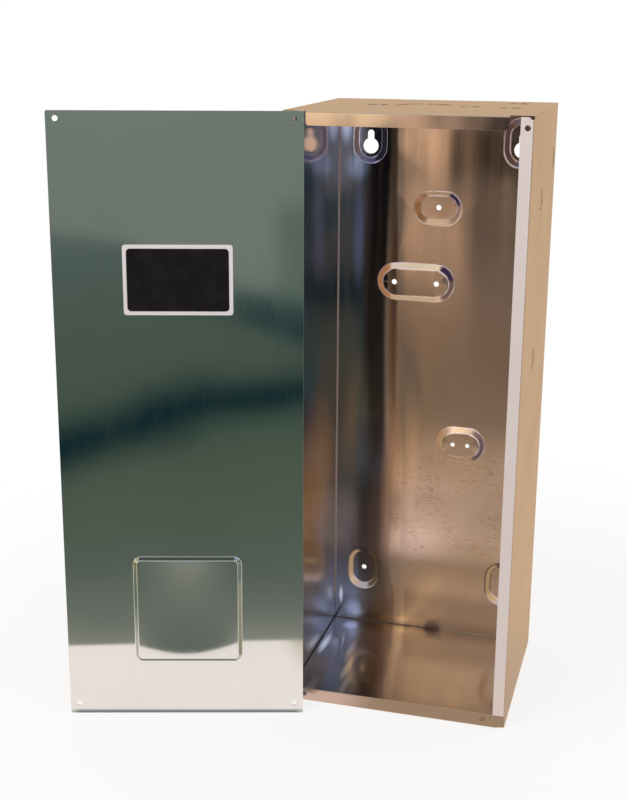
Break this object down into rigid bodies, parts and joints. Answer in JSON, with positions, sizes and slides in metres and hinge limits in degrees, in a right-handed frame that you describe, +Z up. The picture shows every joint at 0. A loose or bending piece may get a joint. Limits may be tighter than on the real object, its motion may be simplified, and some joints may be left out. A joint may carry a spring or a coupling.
{
  "type": "wall cabinet",
  "caption": "Open-fronted wall cabinet of folded stainless sheet for a fire-suppression tank, with drawn keyhole and bracket pads, knockouts and its flat cover leaning on the front.",
  "frame": {"origin": "middle of the cabinet's flat underside", "axes": "+Z up, the open front faces -Y, the back and its wall pads face +Y, +X to the right seen from the front"},
  "size_m": [0.4827, 0.3284, 0.666],
  "materials": {
    "cabinet_steel": null,
    "side_wall_steel": "bright stainless sheet",
    "cover_steel": null,
    "nameplate_metal": "satin",
    "nameplate_paint": "dark enamel"
  },
  "bodies": {
    "root": {"wrapper": "cabinet_steel", "side_wall_left": "side_wall_steel", "side_wall_right": "side_wall_steel", "cover": "cover_steel", "nameplate": "nameplate_metal", "nameplate_field": "nameplate_paint"}
  },
  "joints": []
}
